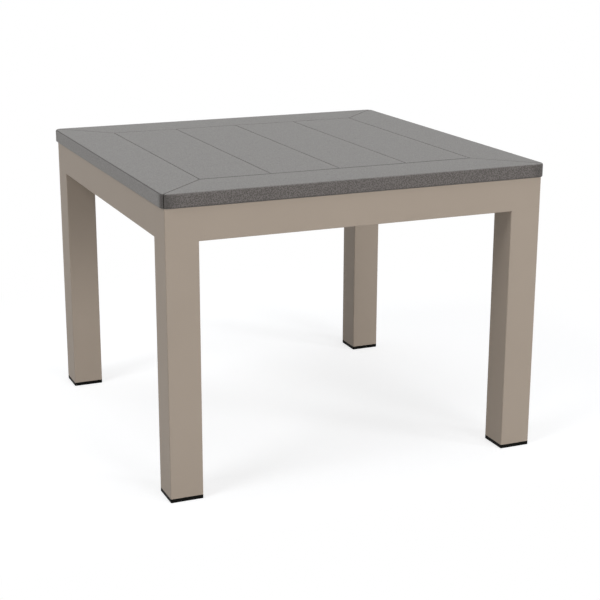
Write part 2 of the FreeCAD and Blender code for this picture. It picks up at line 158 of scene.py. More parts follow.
def linear(hex_colour: str) -> Colour:
    """Turn an sRGB hex colour into the linear colour that shaders take.

    Args:
        hex_colour: Six digits after a #.

    Returns:
        Red, green, blue and a full alpha.
    """
    shares = [part / BYTE for part in bytes.fromhex(hex_colour.removeprefix("#"))]
    red, green, blue = (
        share / SRGB_SLOPE
        if share <= SRGB_KNEE
        else ((share + SRGB_SHIFT) / (1 + SRGB_SHIFT)) ** SRGB_POWER
        for share in shares
    )
    return red, green, blue, 1.0


def add_node(tree: NodeTree, kind: str, inputs: Inputs = (), **settings: object) -> Sockets:
    """Add a shader node with its settings and links.

    Args:
        tree: The node tree to add to.
        kind: The node's type, without its ShaderNode prefix.
        inputs: Values, or sockets to link from, in order or by the input's name or number.
        settings: The node's own properties.

    Returns:
        The new node's outputs.
    """
    node = tree.nodes.new(f"ShaderNode{kind}")
    for name, value in settings.items():
        setattr(node, name, value)
    pairs = inputs.items() if isinstance(inputs, Mapping) else enumerate(inputs)
    for key, value in pairs:
        if isinstance(value, Socket):
            tree.links.new(value, node.inputs[key])
        else:
            node.inputs[key].default_value = value
    return node.outputs


def per_metre(size_mm: float) -> float:
    """How many times a size in millimetres goes into a metre."""
    return 1 / (size_mm * MM)


def start_material(name: str) -> tuple[Material, NodeTree]:
    """Make a material with no nodes.

    Args:
        name: The material and process that it stands for.

    Returns:
        The material and its node tree.
    """
    material = bpy.data.materials.new(name)
    material.use_nodes = True
    material.node_tree.nodes.clear()
    return material, material.node_tree


@dataclass(frozen=True)
class PowderCoat:
    """Aluminium tube under a baked polyester powder: matte, even, with a faint orange peel."""

    light: str = "#AA9D90"
    dark: str = "#A6998C"
    roughness: float = 0.55
    specular: float = 0.3
    cloud_mm: float = 90.0
    cloud_detail: float = 3.0
    peel_mm: float = 3.0
    peel_depth_mm: float = 0.02

    def build(self) -> Material:
        """Make the material: a slow drift in the colour, and a fine wavy skin that softens the light.

        Returns:
            The material.
        """
        material, tree = start_material("powder_coated_aluminium")
        place = add_node(tree, "TexCoord")["Object"]
        clouds = {"Vector": place, "Scale": per_metre(self.cloud_mm), "Detail": self.cloud_detail}
        cloud = add_node(tree, "TexNoise", clouds)["Fac"]
        colours = {MIX_FACTOR: cloud, MIX_A: linear(self.dark), MIX_B: linear(self.light)}
        # The powder's own peel is under a millimetre; it is drawn coarser so that it shows
        peel = add_node(tree, "TexNoise", {"Vector": place, "Scale": per_metre(self.peel_mm)})["Fac"]
        height = add_node(tree, "Math", (peel, self.peel_depth_mm), operation="MULTIPLY")["Value"]
        shader = add_node(tree, "BsdfPrincipled", {
            "Base Color": add_node(tree, "Mix", colours, data_type="RGBA")[MIX_RESULT],
            "Roughness": self.roughness,
            "Specular IOR Level": self.specular,
            "Normal": add_node(tree, "Bump", {"Height": height, "Distance": MM})["Normal"],
        })
        add_node(tree, "OutputMaterial", {"Surface": shader["BSDF"]})
        return material


@dataclass(frozen=True)
class PolymerLumber:
    """Solid polyethylene lumber: a fine matte moulded skin, and a darker pebbled core where it is cut."""

    board: Board
    skin_light: str = "#9F9D9B"
    skin_dark: str = "#72706E"
    core_light: str = "#706B69"
    core_dark: str = "#4F4B48"
    # Dark tone of the painted shade on the arrises, the corners and the lower edge
    painted_shade_colour: str = "#3E3C3A"
    roughness: float = 0.55
    specular: float = 0.4
    grain_mm: float = 1.6
    grain_detail: float = 0.0
    grain_share: float = 0.95
    grain_depth_mm: float = 0.03
    cloud_mm: float = 45.0
    pebble_mm: float = 2.0
    pebble_span: Range = (0.25, 0.75)
    pebble_depth_mm: float = 0.02
    # Shares of the darker core that the side edges and the slats' long sides take as painted shade
    side_shade_share: float = 0.34
    joint_shade_share: float = 0.65
    # Painted shade at the corners of the table and along the lower edge of the border
    corner_shade_share: float = 0.6
    corner_reach: Range = (0.58, 0.607)
    underside: float = 436 * MM
    lower_shade_height: float = 3 * MM
    lower_shade_share: float = 0.9

    # How far a face has to turn, from the first value to the second, to count as such a face
    sawn_turn: Range = (0.3, 0.6)
    routed_turn: Range = (0.35, 0.95)
    side_edge_turn: Range = (0.3, 0.9)
    mitre_turn: Range = (0.15, 0.25)
    joint_turn: Range = (-0.04, -0.12)
    edge_turn: Range = (-0.98, -0.85)
    arris_shade_turn: Range = (0.42, 0.49)

    def build(self) -> Material:
        """Make the material: a quiet speckle on the skin, and pebbles on the faces that are cut.

        Returns:
            The material.
        """
        material, tree = start_material(self.board.value)
        spot = add_node(tree, "TexCoord")
        place = spot["Object"]
        facing = add_node(tree, "SeparateXYZ", {"Vector": spot["Normal"]})
        skin, grain = self.add_skin(tree, place)
        core, pebbles = self.add_core(tree, place)
        # The border takes painted shade on its upper arrises, its corners and its lower edge; a slat on
        # the arrises of its ends
        if self.board is Board.BORDER:
            corner = self.find_corners(tree, place)
            cut = self.add_border_cuts(tree, place, facing, corner)
            skin = self.add_arris_shade(tree, facing["X"], facing["Z"], skin)
            core = self.add_corner_and_edge_shade(tree, place, facing["Z"], corner, core)
        else:
            cut = self.add_slat_cuts(tree, facing)
            core = self.add_arris_shade(tree, facing["Y"], facing["Z"], core)
        colours = {MIX_FACTOR: cut, MIX_A: skin, MIX_B: core}
        heights = {"Factor": cut, "A": grain, "B": pebbles}
        height = add_node(tree, "Mix", heights, data_type="FLOAT")["Result"]
        shader = add_node(tree, "BsdfPrincipled", {
            "Base Color": add_node(tree, "Mix", colours, data_type="RGBA")[MIX_RESULT],
            "Roughness": self.roughness,
            "Specular IOR Level": self.specular,
            "Normal": add_node(tree, "Bump", {"Height": height, "Distance": MM})["Normal"],
        })
        add_node(tree, "OutputMaterial", {"Surface": shader["BSDF"]})
        return material

    def add_skin(self, tree: NodeTree, place: Socket) -> tuple[Socket, Socket]:
        """Add the moulded skin: a quiet speckle over a slow drift.

        Args:
            tree: The material's node tree.
            place: The texture coordinates.

        Returns:
            The skin's colour, and its height in millimetres.
        """
        # The moulded grain is a few tenths of a millimetre; it is drawn coarser so that it shows
        grains = {"Vector": place, "Scale": per_metre(self.grain_mm), "Detail": self.grain_detail}
        grain = add_node(tree, "TexNoise", grains)["Fac"]
        cloud = add_node(tree, "TexNoise", {"Vector": place, "Scale": per_metre(self.cloud_mm)})["Fac"]
        drift = add_node(tree, "Math", (cloud, 1 - self.grain_share), operation="MULTIPLY")["Value"]
        tone = add_node(tree, "Math", (grain, self.grain_share, drift), operation="MULTIPLY_ADD")["Value"]
        colours = {MIX_FACTOR: tone, MIX_A: linear(self.skin_dark), MIX_B: linear(self.skin_light)}
        colour = add_node(tree, "Mix", colours, data_type="RGBA")[MIX_RESULT]
        height = add_node(tree, "Math", (grain, self.grain_depth_mm), operation="MULTIPLY")["Value"]
        return colour, height

    def add_core(self, tree: NodeTree, place: Socket) -> tuple[Socket, Socket]:
        """Add the core that a cutter lays open: small pebbles, dark in their middles.

        Args:
            tree: The material's node tree.
            place: The texture coordinates.

        Returns:
            The core's colour, and its height in millimetres.
        """
        # The core's own pebbles are about a millimetre; they are drawn coarser so that they show
        cells = {"Vector": place, "Scale": per_metre(self.pebble_mm)}
        pebbles = add_node(tree, "TexVoronoi", cells)["Distance"]
        tone = add_node(tree, "MapRange", (pebbles, *self.pebble_span), **SOFT_STEP)["Result"]
        colours = {MIX_FACTOR: tone, MIX_A: linear(self.core_dark), MIX_B: linear(self.core_light)}
        colour = add_node(tree, "Mix", colours, data_type="RGBA")[MIX_RESULT]
        height = add_node(tree, "Math", (tone, self.pebble_depth_mm), operation="MULTIPLY")["Value"]
        return colour, height

    def add_slat_cuts(self, tree: NodeTree, facing: Sockets) -> Socket:
        """Find the faces of a slat that show its core: its sawn ends and, as painted shade in the joints,
        its long sides in part.

        Args:
            tree: The material's node tree.
            facing: The surface's direction.

        Returns:
            The core's share of the surface.
        """
        endways = add_node(tree, "Math", (facing["Y"],), operation="ABSOLUTE")["Value"]
        sideways = add_node(tree, "Math", (facing["X"],), operation="ABSOLUTE")["Value"]
        sawn = add_node(tree, "MapRange", (endways, *self.sawn_turn), **SOFT_STEP)["Result"]
        side = add_node(tree, "MapRange", (sideways, *self.sawn_turn), **SOFT_STEP)["Result"]
        # Painted shade: the long sides take a share of the darker core, which darkens the joints
        side_shade = add_node(tree, "Math", (side, self.joint_shade_share), operation="MULTIPLY")["Value"]
        return add_node(tree, "Math", (sawn, side_shade), operation="MAXIMUM")["Value"]

    def find_corners(self, tree: NodeTree, place: Socket) -> Socket:
        """Measure how near a place is to a corner of the table.

        Args:
            tree: The material's node tree.
            place: The texture coordinates.

        Returns:
            A share that rises to 1 at the corners.
        """
        spot = add_node(tree, "SeparateXYZ", {"Vector": place})
        width = add_node(tree, "Math", (spot["X"],), operation="ABSOLUTE")["Value"]
        depth = add_node(tree, "Math", (spot["Y"],), operation="ABSOLUTE")["Value"]
        reach = add_node(tree, "Math", (width, depth), operation="ADD")["Value"]
        return add_node(tree, "MapRange", (reach, *self.corner_reach), **SOFT_STEP)["Result"]

    def add_border_cuts(self, tree: NodeTree, place: Socket, facing: Sockets, corner: Socket) -> Socket:
        """Find the faces of a border board that show its core.

        Its front and back edges, its round corners, its mitres and its joints do; its left and right
        edges keep most of their skin, and take a share of the darker core as painted shade, the whole of
        it near the corners.

        Args:
            tree: The material's node tree.
            place: The texture coordinates.
            facing: The surface's direction.
            corner: How near the corners of the table are.

        Returns:
            The core's share of the surface.
        """
        endways = add_node(tree, "Math", (facing["Y"],), operation="ABSOLUTE")["Value"]
        sideways = add_node(tree, "Math", (facing["X"],), operation="ABSOLUTE")["Value"]
        routed = add_node(tree, "MapRange", (endways, *self.routed_turn), **SOFT_STEP)["Result"]
        side = add_node(tree, "MapRange", (sideways, *self.side_edge_turn), **SOFT_STEP)["Result"]
        # Painted shade: the side edges take a share of the darker core, all of it near the corners
        side_shade_level = add_node(tree, "Math", (corner, self.side_shade_share), operation="MAXIMUM")["Value"]
        side_shade = add_node(tree, "Math", (side, side_shade_level), operation="MULTIPLY")["Value"]
        # A face that looks both ways lies in a mitre or at a corner
        both_ways = add_node(tree, "Math", (endways, sideways), operation="MULTIPLY")["Value"]
        mitre = add_node(tree, "MapRange", (both_ways, *self.mitre_turn), **SOFT_STEP)["Result"]
        # A face that looks towards the middle of the table lies in a joint
        spot = add_node(tree, "SeparateXYZ", {"Vector": place})
        outward = add_node(tree, "Math", (spot["X"], facing["X"]), operation="MULTIPLY")["Value"]
        ways = (spot["Y"], facing["Y"], outward)
        outward = add_node(tree, "Math", ways, operation="MULTIPLY_ADD")["Value"]
        joint = add_node(tree, "MapRange", (outward, *self.joint_turn), **SOFT_STEP)["Result"]
        cut = routed
        for share in (side_shade, mitre, joint):
            cut = add_node(tree, "Math", (cut, share), operation="MAXIMUM")["Value"]
        return cut

    def add_corner_and_edge_shade(
        self, tree: NodeTree, place: Socket, upward: Socket, corner: Socket, core: Socket
    ) -> Socket:
        """Paint shade into the core at the corners of the table and along the lower edge of the board.

        Args:
            tree: The material's node tree.
            place: The texture coordinates.
            upward: The surface's upward direction.
            corner: How near the corners of the table are.
            core: The core's colour.

        Returns:
            The core's colour with its painted shade.
        """
        # Painted shade: darker towards the lower edge and towards the corners
        height = add_node(tree, "SeparateXYZ", {"Vector": place})["Z"]
        limits = (self.underside + self.lower_shade_height, self.underside)
        low = add_node(tree, "MapRange", (height, *limits), **SOFT_STEP)["Result"]
        # The underside itself stays as it is
        edge = add_node(tree, "MapRange", (upward, *self.edge_turn), **SOFT_STEP)["Result"]
        edge_shade = add_node(tree, "Math", (edge, self.lower_shade_share), operation="MULTIPLY")["Value"]
        lower_edge_shade = add_node(tree, "Math", (low, edge_shade), operation="MULTIPLY")["Value"]
        corner_shade = add_node(tree, "Math", (corner, self.corner_shade_share), operation="MULTIPLY")["Value"]
        share = add_node(tree, "Math", (corner_shade, lower_edge_shade), operation="MAXIMUM")["Value"]
        colours = {MIX_FACTOR: share, MIX_A: core, MIX_B: linear(self.painted_shade_colour)}
        return add_node(tree, "Mix", colours, data_type="RGBA")[MIX_RESULT]

    def add_arris_shade(self, tree: NodeTree, sideways: Socket, upward: Socket, colour: Socket) -> Socket:
        """Paint a line of shade along the upper arrises on two sides of a board.

        Args:
            tree: The material's node tree.
            sideways: The surface's direction across the arrises.
            upward: The surface's upward direction.
            colour: The colour round them.

        Returns:
            The colour with the painted shade on its arrises.
        """
        # Painted shade: a dark line where a face turns between the top and a side
        either_way = add_node(tree, "Math", (sideways,), operation="ABSOLUTE")["Value"]
        tilt = add_node(tree, "Math", (either_way, upward), operation="MULTIPLY")["Value"]
        share = add_node(tree, "MapRange", (tilt, *self.arris_shade_turn), **SOFT_STEP)["Result"]
        colours = {MIX_FACTOR: share, MIX_A: colour, MIX_B: linear(self.painted_shade_colour)}
        return add_node(tree, "Mix", colours, data_type="RGBA")[MIX_RESULT]


@dataclass(frozen=True)
class MouldedPolyethylene:
    """Injection-moulded black polyethylene: near black, with the soft sheen of a fine mould texture."""

    light: str = "#131311"
    dark: str = "#0B0B0A"
    roughness: float = 0.65
    specular: float = 0.06
    grain_mm: float = 1.2
    grain_detail: float = 3.0
    grain_depth_mm: float = 0.03

    def build(self) -> Material:
        """Make the material: a spark-eroded mould's grain in the colour and in the relief.

        Returns:
            The material.
        """
        material, tree = start_material("moulded_black_polyethylene")
        place = add_node(tree, "TexCoord")["Object"]
        # The mould's grain is a few tenths of a millimetre; it is drawn coarser so that it shows
        grains = {"Vector": place, "Scale": per_metre(self.grain_mm), "Detail": self.grain_detail}
        grain = add_node(tree, "TexNoise", grains)["Fac"]
        colours = {MIX_FACTOR: grain, MIX_A: linear(self.dark), MIX_B: linear(self.light)}
        height = add_node(tree, "Math", (grain, self.grain_depth_mm), operation="MULTIPLY")["Value"]
        shader = add_node(tree, "BsdfPrincipled", {
            "Base Color": add_node(tree, "Mix", colours, data_type="RGBA")[MIX_RESULT],
            "Roughness": self.roughness,
            "Specular IOR Level": self.specular,
            "Normal": add_node(tree, "Bump", {"Height": height, "Distance": MM})["Normal"],
        })
        add_node(tree, "OutputMaterial", {"Surface": shader["BSDF"]})
        return material


@dataclass(frozen=True)
class StainlessSteel:
    """Cold-formed stainless steel: a bright satin metal with faint marks from the die."""

    light: str = "#C9C6C0"
    dark: str = "#B4B0A9"
    metallic: float = 1.0
    roughness: float = 0.34
    mark_mm: float = 0.8
    mark_detail: float = 4.0
    mark_depth_mm: float = 0.01

    def build(self) -> Material:
        """Make the material: uneven forming marks in the colour and in the relief.

        Returns:
            The material.
        """
        material, tree = start_material("cold_formed_stainless_steel")
        place = add_node(tree, "TexCoord")["Object"]
        marks = {"Vector": place, "Scale": per_metre(self.mark_mm), "Detail": self.mark_detail}
        mark = add_node(tree, "TexNoise", marks)["Fac"]
        colours = {MIX_FACTOR: mark, MIX_A: linear(self.dark), MIX_B: linear(self.light)}
        height = add_node(tree, "Math", (mark, self.mark_depth_mm), operation="MULTIPLY")["Value"]
        shader = add_node(tree, "BsdfPrincipled", {
            "Base Color": add_node(tree, "Mix", colours, data_type="RGBA")[MIX_RESULT],
            "Metallic": self.metallic,
            "Roughness": self.roughness,
            "Normal": add_node(tree, "Bump", {"Height": height, "Distance": MM})["Normal"],
        })
        add_node(tree, "OutputMaterial", {"Surface": shader["BSDF"]})
        return material


def leave_edit() -> None:
    """Go back to object mode with nothing selected."""
    if bpy.context.mode != "OBJECT":
        bpy.ops.object.mode_set(mode="OBJECT")
    bpy.ops.object.select_all(action="DESELECT")


def activate(piece: Piece) -> None:
    """Select one piece alone, in object mode.

    Args:
        piece: The piece to select.
    """
    leave_edit()
    bpy.context.view_layer.objects.active = piece
    piece.select_set(True)


def name_piece(piece: Piece, name: str) -> Piece:
    """Give a piece and its mesh one name.

    Args:
        piece: The piece to name.
        name: Its name.

    Returns:
        The piece.
    """
    piece.name = name
    piece.data.name = name
    return piece


def apply_place(piece: Piece) -> None:
    """Move a piece's place, turn and scale into its mesh."""
    activate(piece)
    bpy.ops.object.transform_apply(location=True, rotation=True, scale=True)


def add_block(name: str, low: Vector, high: Vector) -> Piece:
    """Add a block that fills the space between two corners.

    Args:
        name: The piece's name.
        low: The block's lowest corner.
        high: The block's highest corner.

    Returns:
        The block, with its place in its mesh.
    """
    leave_edit()
    bpy.ops.mesh.primitive_cube_add(size=1, location=(low + high) / 2, scale=high - low)
    block = name_piece(bpy.context.active_object, name)
    apply_place(block)
    return block


def add_bar(name: str, foot: Vector, radius: float, height: float, sides: int) -> Piece:
    """Add an upright bar.

    Args:
        name: The piece's name.
        foot: The middle of its lower end.
        radius: Its radius, to its corners.
        height: Its height.
        sides: How many sides it has.

    Returns:
        The bar, with its place in its mesh.
    """
    leave_edit()
    middle = foot + Vector((0, 0, height / 2))
    bpy.ops.mesh.primitive_cylinder_add(vertices=sides, radius=radius, depth=height, location=middle)
    bar = name_piece(bpy.context.active_object, name)
    apply_place(bar)
    return bar


def copy_piece(piece: Piece, name: str, shift: Vector) -> Piece:
    """Copy a piece, with a mesh of its own, to another place.

    Args:
        piece: The piece to copy.
        name: The copy's name.
        shift: How far the copy stands from the first.

    Returns:
        The copy.
    """
    activate(piece)
    bpy.ops.object.duplicate(linked=False)
    copy = name_piece(bpy.context.active_object, name)
    bpy.ops.transform.translate(value=shift)
    apply_place(copy)
    return copy


def join_pieces(pieces: list[Piece], name: str) -> Piece:
    """Join pieces into one.

    Args:
        pieces: The pieces, of which the first takes in the others.
        name: The joined piece's name.

    Returns:
        The joined piece.
    """
    activate(pieces[0])
    for piece in pieces:
        piece.select_set(True)
    bpy.ops.object.join()
    return name_piece(pieces[0], name)


def apply_modifier(piece: Piece, kind: str, **settings: object) -> None:
    """Add a modifier to a piece and apply it.

    Args:
        piece: The piece to change.
        kind: The modifier's type.
        settings: The modifier's own properties.
    """
    activate(piece)
    bpy.ops.object.modifier_add(type=kind)
    modifier = piece.modifiers[-1]
    for name, value in settings.items():
        setattr(modifier, name, value)
    bpy.ops.object.modifier_apply(modifier=modifier.name)


def clear_selection(piece: Piece, mode: str) -> None:
    """Set how a piece's mesh is selected, with nothing selected in it.

    Args:
        piece: The piece to select in.
        mode: VERT, EDGE or FACE.
    """
    activate(piece)
    bpy.ops.object.mode_set(mode="EDIT")
    bpy.ops.mesh.select_mode(type=mode)
    bpy.ops.mesh.select_all(action="DESELECT")
    bpy.ops.object.mode_set(mode="OBJECT")


def select_points(piece: Piece, test: Callable[[Vector], bool]) -> None:
    """Select a piece's points by their place, and stay in edit mode.

    Args:
        piece: The piece to select in.
        test: Says whether a point is wanted.
    """
    clear_selection(piece, "VERT")
    for point in piece.data.vertices:
        point.select = test(point.co)
    bpy.ops.object.mode_set(mode="EDIT")


def select_edges(piece: Piece, test: Callable[[Vector, Vector], bool]) -> None:
    """Select a piece's edges by their ends, and stay in edit mode.

    Args:
        piece: The piece to select in.
        test: Says whether an edge between two points is wanted.
    """
    clear_selection(piece, "EDGE")
    points = piece.data.vertices
    for edge in piece.data.edges:
        start, end = edge.vertices
        edge.select = test(points[start].co, points[end].co)
    bpy.ops.object.mode_set(mode="EDIT")


def select_faces(piece: Piece, test: Callable[[Vector, Vector], bool]) -> None:
    """Select a piece's faces by their centre and normal, and stay in edit mode.

    Args:
        piece: The piece to select in.
        test: Says whether a face with a centre and a normal is wanted.
    """
    clear_selection(piece, "FACE")
    for face in piece.data.polygons:
        face.select = test(face.center, face.normal)
    bpy.ops.object.mode_set(mode="EDIT")


def bevel(width: float, segments: int) -> None:
    """Round the selected edges."""
    bpy.ops.mesh.bevel(offset=width, segments=segments, profile=0.5, affect="EDGES", clamp_overlap=True)


def raise_faces(height: float) -> None:
    """Extrude the selected faces upwards, or downwards by a negative height."""
    bpy.ops.mesh.extrude_region_move(TRANSFORM_OT_translate={"value": (0, 0, height)})


def near(first: float, second: float) -> bool:
    """Whether two distances are the same."""
    return abs(first - second) < TOUCH


def at_ends(start: Vector, end: Vector, axis: Axis, *levels: float) -> bool:
    """Whether both ends of an edge lie at one of some levels along an axis."""
    return any(near(start[axis.value], level) and near(end[axis.value], level) for level in levels)


def runs_along(start: Vector, end: Vector, axis: Axis) -> bool:
    """Whether an edge is parallel to an axis."""
    return abs((end - start).normalized()[axis.value]) > FACING


def finish_surface(piece: Piece, sharp_angle: float = 32.0) -> None:
    """Shade a piece smooth over its rounded edges and flat over its faces.

    Args:
        piece: The piece to shade.
        sharp_angle: Edges that turn by more degrees than this stay sharp.
    """
    activate(piece)
    bpy.ops.object.shade_smooth_by_angle(angle=math.radians(sharp_angle))
    apply_modifier(piece, "WEIGHTED_NORMAL", keep_sharp=True)


def cut_away(piece: Piece, cutter: Piece) -> None:
    """Cut one piece's shape out of another, and delete the cutter."""
    apply_modifier(piece, "BOOLEAN", operation="DIFFERENCE", solver="EXACT", object=cutter)
    bpy.data.objects.remove(cutter)


def dress(piece: Piece, material: Material, nodes: Iterable[str]) -> None:
    """Give a finished piece its material, its body and the parts that it stands for.

    Args:
        piece: The finished piece.
        material: Its material.
        nodes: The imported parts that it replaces.
    """
    activate(piece)
    piece.data.materials.clear()
    piece.data.materials.append(material)
    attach(piece, BODY)
    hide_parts(*nodes)
    LOG.info("%s: %d faces, %s", piece.name, len(piece.data.polygons), material.name)


def dress_copies(first: Piece, nodes: list[str], word: str, material: Material) -> None:
    """Copy a finished piece to the places of like parts, and dress them all.

    Args:
        first: The piece that stands for the first part.
        nodes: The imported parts, which are all alike.
        word: What the pieces are, to follow the parts' names.
        material: Their material.
    """
    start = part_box(nodes[0])[0]
    copies = [copy_piece(first, f"{node}_{word}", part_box(node)[0] - start) for node in nodes[1:]]
    for piece, node in zip([first, *copies], nodes):
        dress(piece, material, [node])


@dataclass(frozen=True)
class ScrewGroup:
    """A grid of equal screws that is packed as one part."""

    node: str
    columns: int
    rows: int
    slides: bool
    head_flats: float = 8 * MM

    @property
    def head_radius(self) -> float:
        """A head's radius, to its corners."""
        return self.head_flats / math.sqrt(3)

    def places(self) -> list[Vector]:
        """Find where the screws stand.

        Returns:
            The lowest points of their middles.
        """
        low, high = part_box(self.node)
        margin = Vector((self.head_flats / 2, self.head_radius, 0))
        first = low + margin
        last = high - margin
        step_x = (last.x - first.x) / (self.columns - 1)
        step_y = (last.y - first.y) / (self.rows - 1)
        return [
            first + Vector((step_x * column, step_y * row, 0))
            for row in range(self.rows)
            for column in range(self.columns)
        ]


SCREW_GROUPS = (
    ScrewGroup("slat_screws", columns=4, rows=2, slides=True),
    ScrewGroup("border_screws_sides", columns=2, rows=3, slides=True),
    ScrewGroup("border_screws_front_back", columns=2, rows=2, slides=False),
)


@dataclass
class Tabletop:
    """Four mitred border boards round four slats, with loose tongues across the mitres."""

    border_lumber: Material
    slat_lumber: Material
    slat_count: int = 4
    corner_radius: float = 12 * MM
    corner_steps: int = 10
    upper_radius: float = 3 * MM
    upper_steps: int = 5
    lower_radius: float = 1.5 * MM
    lower_steps: int = 2
    side_ease: float = 0.35 * MM
    end_ease: float = 0.6 * MM
    joint_gap: float = 1 * MM
    tongue_length: float = 70 * MM
    tongue_width: float = 24 * MM
    tongue_thickness: float = 5 * MM
    tongue_clearance: float = 0.15 * MM

    def outer_box(self) -> Box:
        """Find the space that the whole top fills.

        Returns:
            Its lowest and highest corners.
        """
        boxes = {side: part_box(f"border_board_{side.word}") for side in Side}
        low = Vector((boxes[Side.LEFT][0].x, boxes[Side.FRONT][0].y, boxes[Side.FRONT][0].z))
        high = Vector((boxes[Side.RIGHT][1].x, boxes[Side.BACK][1].y, boxes[Side.BACK][1].z))
        return low, high

    def make_blank(self) -> Piece:
        """Model the whole top as one rounded block.

        Returns:
            The block that the border boards are cut from.
        """
        low, high = self.outer_box()
        blank = add_block("top_blank", low, high)
        select_edges(blank, lambda start, end: runs_along(start, end, Axis.Z))
        bevel(self.corner_radius, self.corner_steps)
        select_edges(blank, lambda start, end: at_ends(start, end, Axis.Z, high.z))
        bevel(self.upper_radius, self.upper_steps)
        select_edges(blank, lambda start, end: at_ends(start, end, Axis.Z, low.z))
        bevel(self.lower_radius, self.lower_steps)
        return blank

    def cut_board(self, blank: Piece, side: Side) -> Piece:
        """Cut one border board from the blank along its mitres and its joint with the slats.

        Args:
            blank: The whole top.
            side: The side that the board lies on.

        Returns:
            The board, with its cut edges eased.
        """
        _, high = self.outer_box()
        board = copy_piece(blank, f"{side.word}_border_board", Vector())
        inner = min(corner.dot(side.outward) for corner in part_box(f"border_board_{side.word}"))
        reach_out = abs(high.dot(side.outward))
        reach_along = abs(high.dot(side.along))
        cuts = []
        for end in (-1, 1):
            normal = (side.along * end - side.outward).normalized()
            tip = side.outward * reach_out + side.along * end * reach_along
            cuts.append((tip - normal * self.joint_gap / 2, normal, self.side_ease))
        inner_ease = self.end_ease if side in (Side.FRONT, Side.BACK) else self.side_ease
        cuts.append((side.outward * inner, -side.outward, inner_ease))
        for place, normal, _ in cuts:
            select_faces(board, lambda centre, facing: True)
            bpy.ops.mesh.bisect(plane_co=place, plane_no=normal, use_fill=True, clear_outer=True)
        for _, normal, ease in cuts:
            select_faces(board, lambda centre, facing: facing.dot(normal) > FACING)
            bpy.ops.mesh.region_to_loop()
            bevel(ease, FLAT)
        return board

    def cut_tongue_slots(self, boards: dict[Side, Piece]) -> None:
        """Cut the slots for the loose tongues into the ends of the boards.

        Args:
            boards: The border boards by side.
        """
        size = Vector((self.tongue_length, self.tongue_width, self.tongue_thickness))
        room = Vector((1, 1, 1)) * self.tongue_clearance * 2
        for corner in CORNERS:
            low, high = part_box(f"mitre_spline_{corner}")
            middle = (low + high) / 2
            turn = (0, 0, math.copysign(MITRE_TURN, middle.x * middle.y))
            for side in (side for side in Side if middle.dot(side.outward) > 0):
                leave_edit()
                bpy.ops.mesh.primitive_cube_add(size=1, location=middle, rotation=turn, scale=size + room)
                cut_away(boards[side], bpy.context.active_object)

    def make_slat(self, node: str) -> Piece:
        """Model a slat with eased edges.

        Args:
            node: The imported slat.

        Returns:
            The slat.
        """
        low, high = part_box(node)
        slat = add_block(f"{node}_board", low, high)
        select_edges(slat, lambda start, end: not runs_along(start, end, Axis.X))
        bevel(self.side_ease, FLAT)
        select_edges(slat, lambda start, end: at_ends(start, end, Axis.Z, low.z, high.z) and at_ends(
            start, end, Axis.Y, low.y, high.y
        ))
        bevel(self.end_ease, FLAT)
        finish_surface(slat)
        return slat

    def build(self) -> None:
        """Model and dress the boards."""
        blank = self.make_blank()
        boards = {side: self.cut_board(blank, side) for side in Side}
        bpy.data.objects.remove(blank)
        self.cut_tongue_slots(boards)
        for side, board in boards.items():
            finish_surface(board)
            dress(board, self.border_lumber, [f"border_board_{side.word}"])
        slats = [f"slat_{number + 1}" for number in range(self.slat_count)]
        dress_copies(self.make_slat(slats[0]), slats, "board", self.slat_lumber)


